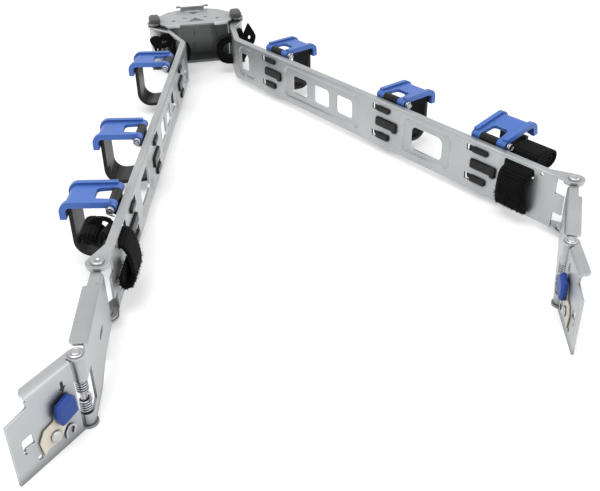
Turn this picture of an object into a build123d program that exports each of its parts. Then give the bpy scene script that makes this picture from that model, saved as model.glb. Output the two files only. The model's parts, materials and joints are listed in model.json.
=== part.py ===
from build123d import *
import math
import os

# Cable management arm, in millimetres. The origin lies under the floor plate of the elbow, on the
# middle line. Z is up, the arms open towards -Y and the right arm is on the +X side.

# Pose of the open arm, in degrees
arm_angle = {"left": 11.7, "right": 26.5}
link_angle = {"left": 4.3, "right": 55.5}
plate_angle = {"left": 35.3, "right": 11.9}
propped_lid_angle = 12.0

# Elbow bracket, measured from the line through its two pivots
origin_setback = 14.0
elbow_sheet = 1.5
pivot_half_span = 35.2
lower_washer = 3.0
upper_washer = 1.3
washer_radius = 5.6
bracket_lug_radius = 6.2
bracket_root_side = 5.0
bracket_root_shift = 2.0
sleeve_radius = 5.0
sleeve_gap = 0.2
top_front_reach = 12.6
top_front_half_width = 26.0
top_side_half_width = 31.0
top_side_rear = 16.0
top_rear_reach = 31.0
top_rear_half_width = 13.0
top_rear_step = (9.0, 4.0)
floor_front = 6.5
floor_gap_half_width = 24.0
floor_lug_front = 3.5
floor_hem_width = 1.6
floor_hem_height = 0.8
skirt_front = 17.5
rear_lip_half_length = 10.5
rear_lip_height = 3.0
lip_hook_length = 3.8
lip_hook_size = 1.6
lip_hook_rise = 0.8
front_lip_length = 10.3
front_lip_drop = 0.8
front_lip_x = 20.0
rib_half_width = 7.8
rib_near = 5.0
rib_far = 16.0
rib_depth = 1.0
rib_slope = 40.0
rib_centre_y = 10.8
small_hole_radius = 1.5
small_hole_x = 18.7
small_slot_at = (9.0, 6.0)
small_slot_turn = 35.0
small_slot_length = 4.5
small_slot_width = 1.5
wall_slit_height = 5.4
wall_slit_width = 1.4
wall_slit_depth = 0.8
wall_slit_z = 20.5
wall_dimple_z = 9.3
wall_dimple_radius = 1.7
wall_dimple_height = 0.7
pivot_pin_radius = 3.0
pivot_head_radius = 3.6
pivot_head_height = 1.0
running_fit = 0.05
cut_room = 1.0
match_room = 0.01

# Plastic bumper over each elbow pivot
bumper_width = 9.4
bumper_length = 13.0
bumper_height = 5.0
bumper_corner = 2.2
bumper_bevel = 1.8
bumper_room = 0.3
bumper_rear_shift = 1.9

# Arm: one bent sheet, with both flanges on the clip side
sheet = 1.2
arm_height = 33.5
flange_width = 4.5
bend_radius = 1.4
arm_length = 370.0
web_offset = 31.7
neck_length = 43.0
neck_radius = 12.0
neck_inset = 7.5
neck_start = 3.0
neck_taper = 20.0
lug_inset = 1.6
end_offset = 5.0
ear_radius = 6.0
ear_root = 12.0
ear_root_length = 8.0
emboss = 1.2
emboss_slope = 30.0
recess_margin = 4.0
recess_top_margin = 3.0
recess_corner = 7.0
window_corner = 3.0
neck_window = (50.0, 61.0)
neck_recess_before = 2.5
neck_recess_after = 11.0
window_half_height = 7.0
window_length = 17.5
window_pitch = 25.5
end_window_length = 28.0
end_window_rise = 1.0
end_window_corner = 4.5
recess_gap_before = 23.0
recess_gap_after = 16.0
relief_length = 7.7
relief_height = 9.5
web_end_gap = 1.5
notch_radius = 1.2
notch_gap = 6.0
notch_drop = 2.6

# Cable clips: the first is placed from the elbow, the last from the arm's end
clip_first = 93.0
clip_end_gap = 63.0
clip_pair_pitch = 85.5
clip_wall = 2.4
clip_width = 20.0
clip_reach = 32.2
clip_bottom = 6.3
clip_rise = 3.0
clip_heel = 4.0
clip_corner = 8.5
clip_seat = 0.05
clip_top_drop = 2.0
clip_wall_drop = 1.4
stem_depth = 8.0
stem_heel = 5.0
stem_gap = 0.7
tab_run = (-11.0, -6.0, 2.0, 6.0)
middle_tab_run = (-7.0, -6.6, 9.0, 13.0)
low_tab_rise = (6.6, 10.8)
middle_tab_rise = (-0.9, 4.9)
high_tab_drop = (7.0, 3.6)
tab_head = 1.6
tab_corner = 1.2
tab_bevel = 0.45
tab_crown = 1.2
tab_clearance = 0.3
knuckle_radius = 2.8
knuckle_width = 12.2
hinge_reach = 8.2
hinge_rise = 0.6
lid_pin_radius = 1.25
lid_width = 26.0
lid_sheet = 2.2
lid_gap = 0.4
lid_corner = 4.5
lid_lip = 9.0
lid_rail_width = 3.2
lid_rail_height = 1.4
lid_window_reach = 18.5
lid_window_taper = 1.0
lid_window_corner = 2.0
lid_side_gap = 0.4
lid_scallop = 1.6
lid_scallop_margin = 2.0
lid_spring_wire = 1.1
lid_spring_turns = 2
lid_spring_room = 0.25
lid_spring_gap = 0.3
lid_pin_tail = 0.8

# Straps
strap_width = 19.5
strap_sheet = 2.2
strap_end_gap = 24.0
strap_slot_height = 6.5
strap_slot_drop = 2.0
strap_seat = 0.7
strap_slot_corner = 1.5
strap_slot_margin = 1.2
strap_roll_radius = 10.0
strap_roll_hole = 3.0
strap_roll_gap = 3.2
strap_bulge = 6.5
strap_slope = 2.0
strap_turn = 3.0
strap_tail = 9.0
strap_tail_end = 2.0
strap_room = 0.6
fold_height = 13.0
fold_corner = 4.0
fold_rise = 2.0
tie_station = 26.0
tie_width = 9.0
tie_head_sheet = 2.4
tie_layers = 4.0
tie_gap = 0.3
tie_inner_reach = 13.0
tie_outer_reach = 6.5
tie_half_height = 11.5
tie_corner = 5.0
tie_lobe = ((7.0, 12.0, 3.6), (8.0, 7.0, 2.0))
tie_head = ((14.5, 18.6, 0.8), (19.5, 10.2, 1.2), (17.0, 3.2, 1.5), (10.5, 5.8, 1.5))
tie_tail = ((4.6, -4.2, 1.2), (10.8, -4.8, 1.2), (6.4, -14.0, 1.0))
tie_hole = (15.6, 9.8, 1.5)

# Link between the arm and its end plate
link_length = 68.7
link_flange = 4.8
link_lug_radius = 5.5
link_web_start = 6.5
link_flange_start = 16.0
link_flange_end = 60.0
link_step = 30.0
link_step_run = 18.0
link_pocket_room = 1.6
link_strip = 3.0
link_slot = (32.0, 10.0, 3.2)
link_slot_drop = 1.0
flange_trim = 2.0
roll_radius = 2.6
ear_gap = 0.2
rivet_radius = 2.0
rivet_head_radius = 3.4
rivet_head_height = 1.2
rivet_tail = 0.8
rivet_tail_rim = 0.8
head_slope = 0.6

# Spring hinge of the end plate
plate_height = 38.3
plate_length = 40.4
plate_low_height = 31.5
plate_step_height = 33.0
plate_step_gap = 0.4
plate_foot_length = 3.0
plate_flange = 4.2
plate_flange_length = 29.0
plate_start = 4.9
plate_face = 1.6
barrel_radius = 3.3
hinge_pin_radius = 1.6
hinge_head_radius = 3.2
hinge_head_height = 1.1
hinge_gap = 0.2
upper_barrel = 11.5
lower_barrel = 6.0
spring_wire = 1.0
spring_turns = 6
spring_bridge = 0.7
spring_room = 0.2
rail_window = (29.4, 35.2, 12.6, 20.1)
rail_window_corner = 1.0
rail_finger = ((33.2, 14.0, 1.3), (28.6, 13.6, 1.1))
latch_window = (27.4, 29.6, 4.5, 7.0)

# Latch on the end plate
latch_sheet = 0.8
latch_seat = 0.05
latch_rivet_at = (19.9, 10.5)
latch_rivet_radius = 1.5
latch_rivet_head = 2.7
latch_rivet_height = 1.1
leaf_outline = ((-9.1, 4.0), (-9.4, 13.0), (-3.4, 13.3), (-0.5, 7.6), (5.1, 6.7), (8.1, 2.4), (7.0, -5.1),
                (4.4, -3.7), (-2.3, -3.9))
button_outline = ((-1.9, 14.5), (-8.8, 16.5), (-11.7, 13.6), (-12.1, 5.9), (-2.9, 3.8), (-0.8, 8.9))
button_height = 3.2
button_bevel = 1.0
latch_wire = 0.8
latch_spring_at = (11.9, 6.8)
latch_spring_radius = 2.5
latch_spring_leg = 2.4

# Levels that follow from the stack of sheets
arm_bottom = elbow_sheet + lower_washer
arm_top = arm_bottom + arm_height
top_plate_low = arm_top + upper_washer
elbow_height = top_plate_low + elbow_sheet
link_bottom = arm_bottom + sheet + ear_gap
link_top = arm_top - sheet - ear_gap
hinge_z = arm_top + hinge_rise
lower_barrel_low = sheet + hinge_gap
lower_barrel_top = lower_barrel_low + lower_barrel
upper_barrel_top = plate_height - sheet - hinge_gap
upper_barrel_low = upper_barrel_top - upper_barrel
web_middle = (arm_bottom + arm_top) / 2
end_pivot_x = end_offset - web_offset
strap_station = arm_length - strap_end_gap - strap_width / 2
strap_slot_top = arm_top - strap_slot_drop
strap_gate = strap_slot_top - strap_slot_height + strap_seat + strap_sheet / 2
clip_top = arm_top - sheet - clip_top_drop
clip_last = arm_length - clip_end_gap
clip_stations = (clip_first, clip_last - clip_pair_pitch, clip_last)
rear_wall_y = top_rear_reach - elbow_sheet
emboss_inset = sheet * math.tan(math.radians(emboss_slope / 2))
tie_low = web_middle - tie_half_height
tie_high = web_middle + tie_half_height
fold_inner = hinge_reach + knuckle_radius + strap_room
lid_tip = clip_reach + lid_gap + lid_sheet


def ring(outer, inner, height):
    return Cylinder(outer, height, align=(Align.CENTER, Align.CENTER, Align.MIN)) - Cylinder(
        inner, height, align=(Align.CENTER, Align.CENTER, Align.MIN))


def disc(radius, height):
    return Cylinder(radius, height, align=(Align.CENTER, Align.CENTER, Align.MIN))


def block(x0, x1, y0, y1, z0, z1):
    size = Box(x1 - x0, y1 - y0, z1 - z0, align=(Align.MIN, Align.MIN, Align.MIN))
    return Pos(x0, y0, z0) * size


def formed_head(radius, height):
    # low rivet head with a sloping rim
    body = disc(radius, height)
    return chamfer(body.edges().group_by(Axis.Z)[-1], height * head_slope)


def rounded_patch(circles):
    # smooth patch drawn tightly round a few circles, each given by its place and radius
    return make_hull([edge for x, y, radius in circles for edge in (Pos(x, y) * Circle(radius)).edges()])


def coil_sleeve(inner_radius, wire, turns):
    # outer form of a closely wound coil
    return ring(inner_radius + wire, inner_radius, wire * turns)


# Arm panel, in the arm's own frame: the elbow pivot is at the origin, x is outwards and the arm
# runs towards -y, so a station is a distance along -y

def neck_frame():
    # the sloping neck passes the pivot at a set distance and meets the straight web at the bend
    reach = math.hypot(web_offset, neck_length)
    turn = math.atan2(neck_length, -web_offset) + math.acos(neck_inset / reach)
    inward = Vector(math.cos(turn), -math.sin(turn))
    bend = Vector(-web_offset, -neck_length)
    along = (bend - inward * neck_inset).normalized()
    return bend, inward, along


def neck_path(offset):
    # line of the sheet, moved outwards by the offset
    bend, inward, along = neck_frame()
    square = Vector(1, 0)
    mitre = (square - inward) * (offset / (1 - inward.dot(square)))
    start = inward * (neck_inset - offset) + along * neck_start
    end = Vector(-web_offset + offset, -(arm_length - web_end_gap))
    return FilletPolyline(start, bend + mitre, end, radius=neck_radius - offset)


def sheet_strip(offset):
    near = neck_path(0)
    far = neck_path(offset)
    return make_face(near.edges() + far.edges() + [Line(near @ 0, far @ 0), Line(near @ 1, far @ 1)])


def web_plane(station, height, x):
    return Plane(origin=(x, -station, height), x_dir=(0, 1, 0), z_dir=(1, 0, 0))


def web_cut(start, end, low, high, corner=0.0):
    middle = web_plane((start + end) / 2, (low + high) / 2, -web_offset - cut_room)
    outline = Rectangle(end - start, high - low)
    if corner:
        outline = RectangleRounded(end - start, high - low, corner)
    return extrude(middle * outline, sheet + emboss + 2 * cut_room)


def recess(start, end):
    # panel pressed outwards: a hollow on the inner face and a raised pad on the clip face
    low = arm_bottom + recess_margin
    high = arm_top - recess_top_margin
    middle = ((start + end) / 2, (low + high) / 2)
    shrink = 2 * emboss_inset
    pad = RectangleRounded(end - start, high - low, recess_corner)
    hollow = RectangleRounded(end - start - shrink, high - low - shrink, recess_corner - emboss_inset)
    raised = extrude(web_plane(*middle, sheet - web_offset) * pad, emboss, taper=90 - emboss_slope)
    sunk = extrude(web_plane(*middle, -web_offset) * hollow, emboss, taper=90 - emboss_slope)
    return raised, sunk


def clip_tabs():
    # slot start, head start, neck end, head end, low edge, high edge and end crown, about the clip's station
    low_tab = (*tab_run, *[arm_bottom + rise for rise in low_tab_rise], 0.0)
    middle_tab = (*middle_tab_run, *[web_middle + rise for rise in middle_tab_rise], tab_crown)
    high_tab = (*tab_run, *[arm_top - drop for drop in high_tab_drop], 0.0)
    return (low_tab, middle_tab, high_tab)


def neck_foot():
    # middle of the tie strap's place, on the inner face of the neck
    inward, along = neck_frame()[1:]
    return inward * neck_inset + along * tie_station


def tie_slots():
    # two slots in the neck, with the strip that the tie strap goes round between them
    inward, along = neck_frame()[1:]
    foot = neck_foot()
    height = tie_layers + 2 * tie_gap
    slots = []
    for level in (tie_low + tie_layers / 2, tie_high - tie_layers / 2):
        plane = Plane(origin=(foot.X, foot.Y, level), x_dir=along, z_dir=inward)
        slots.append(extrude(plane * Rectangle(tie_width + 2 * tie_gap, height), 2 * sheet, both=True))
    return slots


def neck_lug():
    # round eye on the pivot, which widens into the flange of the neck
    inward, along = neck_frame()[1:]
    radius = neck_inset - lug_inset
    inner = inward * radius
    outer = inward * (neck_inset - flange_width) + along * neck_taper
    taper = make_face(Polyline(inner, inner + along * neck_taper, outer, -inner, close=True))
    return taper + Circle(radius)


def end_ear():
    # round eye at the free end, drawn in to the flange
    eye = Pos(end_pivot_x, -arm_length) * Circle(ear_radius)
    root_x = -web_offset + (lug_inset + flange_width) / 2
    root = Pos(root_x, -(arm_length - ear_root)) * Rectangle(flange_width - lug_inset, ear_root_length)
    return make_hull(eye.edges() + root.edges())


def arm_panel():
    web = Pos(0, 0, arm_bottom) * extrude(sheet_strip(sheet), arm_height)
    flange = extrude(sheet_strip(flange_width), sheet)
    body = web + Pos(0, 0, arm_bottom) * flange + Pos(0, 0, arm_top - sheet) * flange
    for level in (arm_bottom, arm_top):
        line = Pos(0, 0, level) * neck_path(0)
        bends = [e for e in body.edges() if line.distance_to(Vertex(e @ 0.5)) < match_room
                 and abs((e @ 0).Z - (e @ 1).Z) < match_room]
        body = fillet(bends, bend_radius)
    for level in (arm_bottom, arm_top - sheet):
        body += Pos(0, 0, level) * extrude(neck_lug() + end_ear(), sheet)
    recesses = [(neck_window[0] - neck_recess_before, neck_window[1] + neck_recess_after)]
    for before, after in zip(clip_stations, clip_stations[1:]):
        recesses.append((before + recess_gap_after, after - recess_gap_before))
    for start, end in recesses:
        pad, hollow = recess(start, end)
        body = body + pad - hollow
    low = web_middle - window_half_height
    high = web_middle + window_half_height
    body -= web_cut(*neck_window, low, high, window_corner)
    first, last = recesses[1]
    window_count = int((last - first - window_length) // window_pitch) + 1
    for index in range(window_count):
        centre = (first + last) / 2 + (index - (window_count - 1) / 2) * window_pitch
        body -= web_cut(centre - window_length / 2, centre + window_length / 2, low, high, window_corner)
    centre = sum(recesses[2]) / 2
    body -= web_cut(centre - end_window_length / 2, centre + end_window_length / 2, low - end_window_rise,
                    high + end_window_rise, end_window_corner)
    for slot in tie_slots():
        body -= slot
    for station in clip_stations:
        for slot_start, head_start, neck_end, head_end, tab_low, tab_high, crown in clip_tabs():
            body -= web_cut(station + slot_start, station + neck_end + tab_clearance,
                            tab_low - tab_clearance, tab_high + tab_clearance)
    half_slot = strap_width / 2 + strap_slot_margin
    body -= web_cut(strap_station - half_slot, strap_station + half_slot,
                    strap_slot_top - strap_slot_height, strap_slot_top, strap_slot_corner)
    for inner_face in (arm_top - sheet - relief_height, arm_bottom + sheet):
        body -= web_cut(arm_length - relief_length, arm_length, inner_face, inner_face + relief_height)
    notch = Pos(-web_offset, -(arm_length - strap_end_gap + notch_gap), arm_top - notch_drop)
    body -= notch * Rot(0, 90, 0) * Cylinder(notch_radius, 4 * sheet)
    body -= Pos(0, 0, arm_bottom) * disc(pivot_pin_radius + running_fit, arm_height)
    body -= Pos(end_pivot_x, -arm_length, arm_bottom) * disc(rivet_radius + running_fit, arm_height)
    return body


# Cable clip: a hooked base that snaps into the web, and a hinged lid

def clip_plane(station):
    # local x is the distance outwards from the inner face of the web, local y is the height
    return Plane(origin=(-web_offset, -station, 0), x_dir=(1, 0, 0), z_dir=(0, -1, 0))


def clip_rod(station, start, end, radius):
    # round bar along the hinge line of a clip, between two distances from its station
    centre = clip_plane(station).offset(start) * Pos(hinge_reach, hinge_z) * Circle(radius)
    return extrude(centre, end - start)


def clip_base(station):
    plane = clip_plane(station)
    back = sheet + clip_seat + clip_wall / 2
    wall = clip_reach - clip_wall / 2
    loop_line = FilletPolyline(
        (back, clip_top), (back, clip_bottom + clip_rise + clip_wall / 2),
        (wall, clip_bottom + clip_wall / 2), (wall, hinge_z - clip_wall_drop),
        radius=[clip_heel, clip_corner])
    body = extrude(plane * trace(loop_line, clip_wall), clip_width / 2, both=True)
    step = flange_width + stem_gap
    tip = hinge_reach + knuckle_radius
    stem = make_face(Polyline(
        (back, clip_top - stem_depth), (tip, hinge_z - stem_heel), (tip, hinge_z),
        (max(step, hinge_reach - knuckle_radius), hinge_z), (step, clip_top), (back, clip_top), close=True))
    body += extrude(plane * stem, knuckle_width / 2, both=True)
    body += clip_rod(station, -knuckle_width / 2, knuckle_width / 2, knuckle_radius)
    body -= clip_rod(station, -knuckle_width, knuckle_width, lid_pin_radius + running_fit)
    inner = -web_offset - clip_seat
    for slot_start, head_start, neck_end, head_end, low, high, crown in clip_tabs():
        body += block(inner, -web_offset + back, -station - neck_end, -station - head_start, low, high)
        body += tab_pad(station + head_start, station + head_end, low, high)
        if crown:
            body += tab_pad(station + neck_end, station + head_end, low - crown, high)
    return body


def tab_pad(start, end, low, high):
    # visible head of a snap tab, lying on the inner face of the web
    plane = web_plane((start + end) / 2, (low + high) / 2, -web_offset - clip_seat)
    pad = extrude(plane * RectangleRounded(end - start, high - low, tab_corner), -tab_head)
    return chamfer(pad.faces().sort_by(Axis.X)[0].edges(), tab_bevel)


def clip_lid(station):
    plane = clip_plane(station)
    half = lid_width / 2
    top = hinge_z + knuckle_radius

    def skin(rise, wall):
        middle = top + rise - wall / 2
        end = lid_tip + rise - wall / 2
        return trace(FilletPolyline((hinge_reach, middle), (end, middle), (end, top - lid_lip),
                                    radius=lid_corner + rise - wall / 2), wall)

    panel = extrude(plane * skin(0, lid_sheet), half, both=True)
    rail = plane * skin(lid_rail_height, lid_sheet + lid_rail_height)
    body = panel
    for side in (-1, 1):
        edge = side * half
        body += extrude(Pos(0, -edge, 0) * rail, -side * lid_rail_width)
        body += clip_rod(station, min(edge, side * knuckle_width / 2), max(edge, side * knuckle_width / 2),
                         knuckle_radius)
    opening = knuckle_width / 2 + lid_side_gap
    narrow = opening - lid_window_taper
    straight = hinge_reach + knuckle_radius
    window = make_face(Polyline(
        (0, -opening), (straight, -opening), (lid_window_reach, -narrow), (lid_window_reach, narrow),
        (straight, opening), (0, opening), close=True))
    window = fillet(window.vertices().group_by(Axis.X)[-1], lid_window_corner)
    window_depth = knuckle_radius + lid_rail_height + cut_room
    body -= Pos(-web_offset, -station, hinge_z) * extrude(window, window_depth, both=True)
    body -= clip_rod(station, -half - cut_room, half + cut_room, lid_pin_radius + running_fit)
    scallop_radius = (half - lid_scallop_margin) ** 2 / (2 * lid_scallop)
    scallop = Rot(0, 90, 0) * Cylinder(scallop_radius, 2 * (lid_sheet + lid_rail_height + cut_room))
    body -= Pos(lid_tip - web_offset, -station, top - lid_lip - scallop_radius + lid_scallop) * scallop
    return body


def lid_pin(station):
    coil = lid_spring_turns * lid_spring_wire
    return clip_rod(station, -lid_width / 2, lid_width / 2 + coil + lid_pin_tail, lid_pin_radius)


def lid_spring(station):
    coil = coil_sleeve(lid_pin_radius + lid_spring_room, lid_spring_wire, lid_spring_turns)
    place = clip_plane(station).offset(lid_width / 2 + lid_spring_gap)
    return place.location * Pos(hinge_reach, hinge_z, 0) * coil


def wide_strap(side):
    # the band comes out of its roll or fold, through the slot, and down the inner face of the web
    plane = clip_plane(strap_station)
    line = FilletPolyline(
        (fold_inner + strap_sheet, strap_gate - strap_slope), (-strap_sheet, strap_gate),
        (-strap_bulge, strap_gate - strap_bulge), (-strap_bulge, arm_bottom + strap_tail),
        (-strap_bulge + strap_slope, strap_tail_end), radius=[strap_turn, strap_turn, 2 * strap_turn])
    band = trace(line, strap_sheet)
    if side == "left":
        centre = Pos(sheet + strap_roll_gap + strap_roll_radius, strap_gate)
        roll = centre * Circle(strap_roll_radius) - centre * Circle(strap_roll_hole)
        return extrude(plane * (band - centre * Circle(strap_roll_hole) + roll), strap_width / 2, both=True)
    fold_outer = clip_reach - clip_wall - strap_room
    middle = Pos((fold_inner + fold_outer) / 2, strap_gate + fold_rise)
    fold = middle * RectangleRounded(fold_outer - fold_inner, fold_height, fold_corner)
    fold_start = clip_stations[-1] - clip_width / 2
    bundle = extrude(clip_plane(fold_start) * fold, strap_station + strap_width / 2 - fold_start)
    return extrude(plane * band, strap_width / 2, both=True) + bundle


def tie_strap():
    # strap looped through the two slots of the neck, with its pointed head and its tail on the clip side
    inward, along = neck_frame()[1:]
    foot = neck_foot()
    plane = Plane(origin=(foot.X, foot.Y, web_middle), x_dir=-inward, z_dir=along)
    width = tie_inner_reach + tie_outer_reach
    height = 2 * tie_half_height
    loop = RectangleRounded(width, height, tie_corner)
    loop -= RectangleRounded(width - 2 * tie_layers, height - 2 * tie_layers, tie_corner - tie_layers)
    body = extrude(plane * Pos((tie_outer_reach - tie_inner_reach) / 2, 0) * loop, tie_width / 2, both=True)
    x, z, radius = tie_hole
    head = rounded_patch(tie_head) - Pos(x, z) * Circle(radius)
    for patch in (head, rounded_patch(tie_lobe), rounded_patch(tie_tail)):
        body += extrude(plane * patch, tie_head_sheet / 2, both=True)
    return body


# Link, in its own frame: the arm's end pivot is at the origin and the link runs towards -y

def side_plane(x):
    # local x is the distance along the piece, local y is the height, normal towards -x
    return Plane(origin=(x, 0, 0), x_dir=(0, -1, 0), z_dir=(-1, 0, 0))


def rolled_edge(face_x, top, reach, start, end):
    # large bend from an upright face into its top flange, between two distances along the piece
    middle = face_x + sheet / 2
    level = top - sheet / 2
    line = FilletPolyline((middle, top - 2 * roll_radius), (middle, level), (reach, level),
                          radius=roll_radius - sheet / 2)
    profile = Plane(origin=(0, -start, 0), x_dir=(1, 0, 0), z_dir=(0, -1, 0)) * trace(line, sheet)
    return extrude(profile, end - start)


def link():
    web_x = -barrel_radius
    pocket = link_length - 2 * barrel_radius - link_pocket_room
    rolled_top = link_top - roll_radius
    web_outline = make_face(Polyline(
        (link_web_start, link_bottom), (link_step, link_bottom),
        (link_step + link_step_run, lower_barrel_low), (link_length, lower_barrel_low),
        (link_length, lower_barrel_top), (pocket, lower_barrel_top),
        (pocket, upper_barrel_low), (link_length, upper_barrel_low), (link_length, upper_barrel_top),
        (pocket, upper_barrel_top), (pocket, rolled_top), (link_web_start, rolled_top), close=True))
    body = extrude(side_plane(web_x + sheet) * web_outline, sheet)
    inside = web_x + sheet
    strip = Pos(inside + link_strip / 2, -link_flange_start / 2) * Rectangle(link_strip, link_flange_start)
    lug = Circle(link_lug_radius) + strip
    body += Pos(0, 0, link_bottom) * extrude(lug, sheet) + Pos(0, 0, link_top - sheet) * extrude(lug, sheet)
    body += rolled_edge(web_x, link_top, link_flange - flange_trim, link_web_start, link_flange_end)
    for level, end in ((link_bottom, link_step), (link_top - sheet, link_flange_end)):
        root = web_x if level == link_bottom else web_x + roll_radius
        flange = make_face(Polyline(
            (root, -link_flange_start), (link_flange, -link_flange_start - flange_trim),
            (link_flange, -end + flange_trim), (link_flange - flange_trim, -end), (root, -end), close=True))
        body += Pos(0, 0, level) * extrude(flange, sheet)
    axis = Pos(0, -link_length, 0)
    for low, height in ((lower_barrel_low, lower_barrel), (upper_barrel_low, upper_barrel)):
        body += axis * Pos(0, 0, low) * disc(barrel_radius, height)
    body -= axis * disc(hinge_pin_radius + running_fit, plate_height)
    body -= disc(rivet_radius + running_fit, arm_top)
    along, length, width = link_slot
    slot = side_plane(0) * Pos(along, web_middle - link_slot_drop) * SlotOverall(length, width)
    body -= extrude(slot, 2 * barrel_radius)
    return body


def link_rivets():
    shank = sheet * 2 + ear_gap
    rim = rivet_radius + rivet_tail_rim
    upper = Pos(0, 0, arm_top - shank) * disc(rivet_radius, shank)
    upper += Pos(0, 0, arm_top) * formed_head(rivet_head_radius, rivet_head_height)
    upper += Pos(0, 0, arm_top - shank - rivet_tail) * disc(rim, rivet_tail)
    lower = Pos(0, 0, arm_bottom) * disc(rivet_radius, shank)
    lower += Pos(0, 0, arm_bottom) * Rot(180, 0, 0) * formed_head(rivet_head_radius, rivet_head_height)
    lower += Pos(0, 0, arm_bottom + shank) * disc(rim, rivet_tail)
    return [upper, lower]


# End plate and its hinge, in the plate's frame: the hinge axis is at the origin

def hinge_pin():
    body = disc(hinge_pin_radius, plate_height)
    return body + Pos(0, 0, plate_height) * formed_head(hinge_head_radius, hinge_head_height)


def hinge_spring():
    # double torsion spring: two coils on the pin, joined by a straight bridge
    inner = hinge_pin_radius + spring_room
    half = spring_wire * spring_bridge / 2
    middle = inner + spring_wire / 2
    coil = coil_sleeve(inner, spring_wire, spring_turns)
    lower = Pos(0, 0, lower_barrel_top + hinge_gap) * coil
    upper = Pos(0, 0, upper_barrel_low - hinge_gap - spring_turns * spring_wire) * coil
    bridge_low = lower_barrel_top + hinge_gap + (spring_turns - 1) * spring_wire
    bridge_high = upper_barrel_low - hinge_gap - (spring_turns - 1) * spring_wire
    return lower + upper + block(-middle - half, half - middle, -half, half, bridge_low, bridge_high)


def end_plate():
    step = plate_flange_length + plate_step_gap
    rolled_top = plate_height - roll_radius
    outline = make_face(Polyline(
        (plate_start, 0), (plate_length, 0), (plate_length, plate_low_height), (step, plate_step_height),
        (step, rolled_top), (plate_start, rolled_top), close=True))
    start, end, low, high = rail_window
    window = RectangleRounded(end - start, high - low, rail_window_corner)
    outline -= Pos((start + end) / 2, (low + high) / 2) * window - rounded_patch(rail_finger)
    start, end, low, high = latch_window
    outline -= Pos((start + end) / 2, (low + high) / 2) * Rectangle(end - start, high - low)
    outline -= Pos(*latch_rivet_at) * Circle(latch_rivet_radius + running_fit)
    body = extrude(side_plane(sheet - plate_face) * outline, sheet)
    body += rolled_edge(-plate_face, plate_height, plate_flange - flange_trim, plate_start,
                        plate_flange_length)
    ear = Circle(plate_flange)
    top = ear + make_face(Polyline(
        (roll_radius - plate_face, 0), (plate_flange, 0), (plate_flange, flange_trim - plate_flange_length),
        (plate_flange - flange_trim, -plate_flange_length), (roll_radius - plate_face, -plate_flange_length),
        close=True))
    foot_width = plate_flange + plate_face
    foot_length = plate_start + plate_foot_length
    foot = ear + Pos(plate_flange - foot_width / 2, -foot_length / 2) * Rectangle(foot_width, foot_length)
    body += Pos(0, 0, plate_height - sheet) * extrude(top, sheet) + extrude(foot, sheet)
    return body - disc(hinge_pin_radius + running_fit, plate_height)


def about_rivet(points):
    # outline given by its corners' distances from the latch rivet
    along, height = latch_rivet_at
    return make_face(Polyline(*[(along + x, height + z) for x, z in points], close=True))


def latch_lever():
    # thin spring-steel leaf that turns on its rivet and hooks behind the rail
    outline = about_rivet(leaf_outline) - Pos(*latch_rivet_at) * Circle(latch_rivet_radius + running_fit)
    return extrude(side_plane(-plate_face - latch_seat) * outline, latch_sheet)


def latch_button():
    seat = -plate_face - latch_seat - latch_sheet
    body = extrude(side_plane(seat) * about_rivet(button_outline), button_height)
    return chamfer(body.faces().sort_by(Axis.X)[0].edges(), button_bevel)


def latch_rivet():
    place = side_plane(-plate_face + sheet) * Pos(*latch_rivet_at)
    stack = sheet + latch_seat + latch_sheet
    shank = extrude(place * Circle(latch_rivet_radius), stack)
    head = side_plane(-plate_face + sheet - stack).location * Pos(*latch_rivet_at, 0) * formed_head(
        latch_rivet_head, latch_rivet_height)
    return shank + head


def latch_spring():
    # bent wire beside the lever: an arch with one straight and one turned-in leg, lying on the plate
    along, height = latch_spring_at
    radius = latch_spring_radius
    straight = Line((along + radius, height - latch_spring_leg), (along + radius, height))
    arch = CenterArc((along, height), radius, 0, 180)
    turned_in = Line((along - radius, height), (along - radius / 2, height - latch_spring_leg))
    wire = trace([straight, arch, turned_in], latch_wire)
    return extrude(side_plane(-plate_face - latch_seat) * wire, latch_wire)


# Elbow bracket: the origin is midway between the two pivots

def bracket_core():
    # sheet outline without the two round eyes
    step_x, step_y = top_rear_step
    half = [
        (top_front_half_width, -top_front_reach), (top_side_half_width, -top_front_reach / 2),
        (top_side_half_width, top_side_rear), (top_rear_half_width + step_x, top_rear_reach - step_y),
        (top_rear_half_width, top_rear_reach),
    ]
    return make_face(Polyline(*half, *[(-x, y) for x, y in reversed(half)], close=True))


def bracket_outline():
    body = bracket_core()
    root_width = pivot_half_span - top_side_half_width + bracket_root_side
    for side in (-1, 1):
        root_x = side * (top_side_half_width + pivot_half_span) / 2
        body += Pos(root_x, top_side_rear / 2 - bracket_root_shift) * Rectangle(root_width, top_side_rear)
        body += Pos(side * pivot_half_span, 0) * Circle(bracket_lug_radius)
    return body


def in_front_of(y):
    # everything in front of a line across the bracket
    reach = 2 * (top_rear_reach + pivot_half_span)
    return Pos(0, y - reach / 2) * Rectangle(reach, reach)


def rib_pockets():
    # two pressed triangles, which leave a raised cross between them
    pockets = Sketch()
    for sign in (-1, 1):
        pockets += make_face(Polyline((0, sign * rib_near), (rib_half_width, sign * rib_far),
                                      (-rib_half_width, sign * rib_far), close=True))
    return Pos(0, rib_centre_y, elbow_height) * pockets


def rear_skirt():
    # wall bent down from the rear of the top plate, with its corners
    core = bracket_core()
    band = core - offset(core, -elbow_sheet, kind=Kind.INTERSECTION) - in_front_of(skirt_front)
    wall = extrude(band, elbow_height)
    face = Rot(90, 0, 0)
    slit = SlotOverall(wall_slit_height, wall_slit_width, rotation=90)
    wall -= Pos(0, rear_wall_y, wall_slit_z) * face * extrude(slit, wall_slit_depth, both=True)
    dimple = formed_head(wall_dimple_radius, wall_dimple_height)
    return wall + Pos(0, rear_wall_y, wall_dimple_z) * face * dimple


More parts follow.
